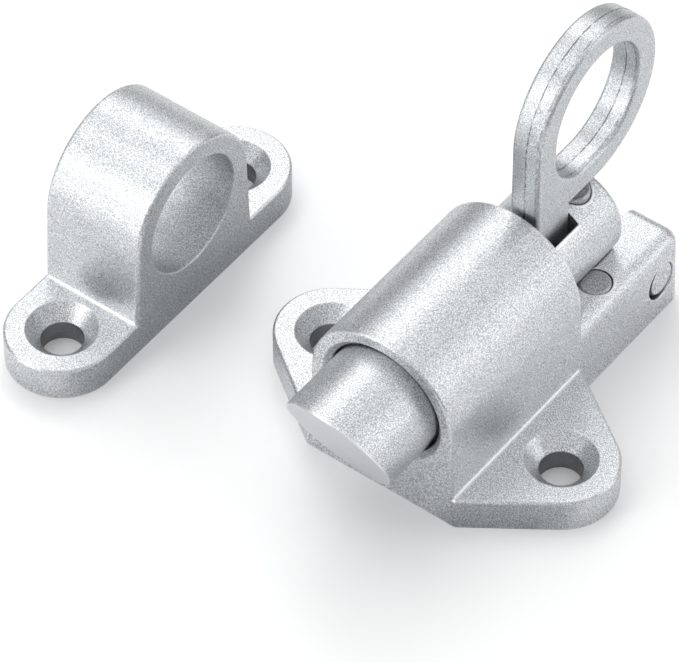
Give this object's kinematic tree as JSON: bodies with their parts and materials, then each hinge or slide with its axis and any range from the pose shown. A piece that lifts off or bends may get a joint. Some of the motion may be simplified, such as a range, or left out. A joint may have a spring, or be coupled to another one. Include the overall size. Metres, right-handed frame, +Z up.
{
  "type": "spring loaded gate latch",
  "caption": "Spring loaded gate latch: a bevelled round bolt in a cast housing, drawn back by an upright pull ring, with a separate cast keeper.",
  "frame": {"origin": "midway between the latch's two screw holes, on the mounting plane", "axes": "+Z up from the mounting plane, the bolt points along -Y and is drawn along +Y, +X across the latch"},
  "size_m": [0.07, 0.0599, 0.0438],
  "materials": {
    "casting": "fine blasted satin",
    "bolt_casting": "fine blasted satin, with a smoother bevel",
    "ring_casting": "fine blasted satin",
    "pin_steel": "dull turned steel",
    "spring_steel": "drawn wire"
  },
  "bodies": {
    "base": {"housing": "casting", "guide_pin": "pin_steel", "rest_pin": "pin_steel", "spring": "spring_steel", "keeper": "casting"},
    "slider": {"bolt": "bolt_casting", "pull_ring": "ring_casting", "ring_rivet": "pin_steel"}
  },
  "joints": [
    {"name": "bolt_slide", "type": "slide", "parent": "base", "child": "slider", "axis": [0, 1, 0], "range_m": [0, 0.011], "stiffness_N_per_m": 500, "springref_m": -0.01, "deforming": ["spring"]}
  ]
}
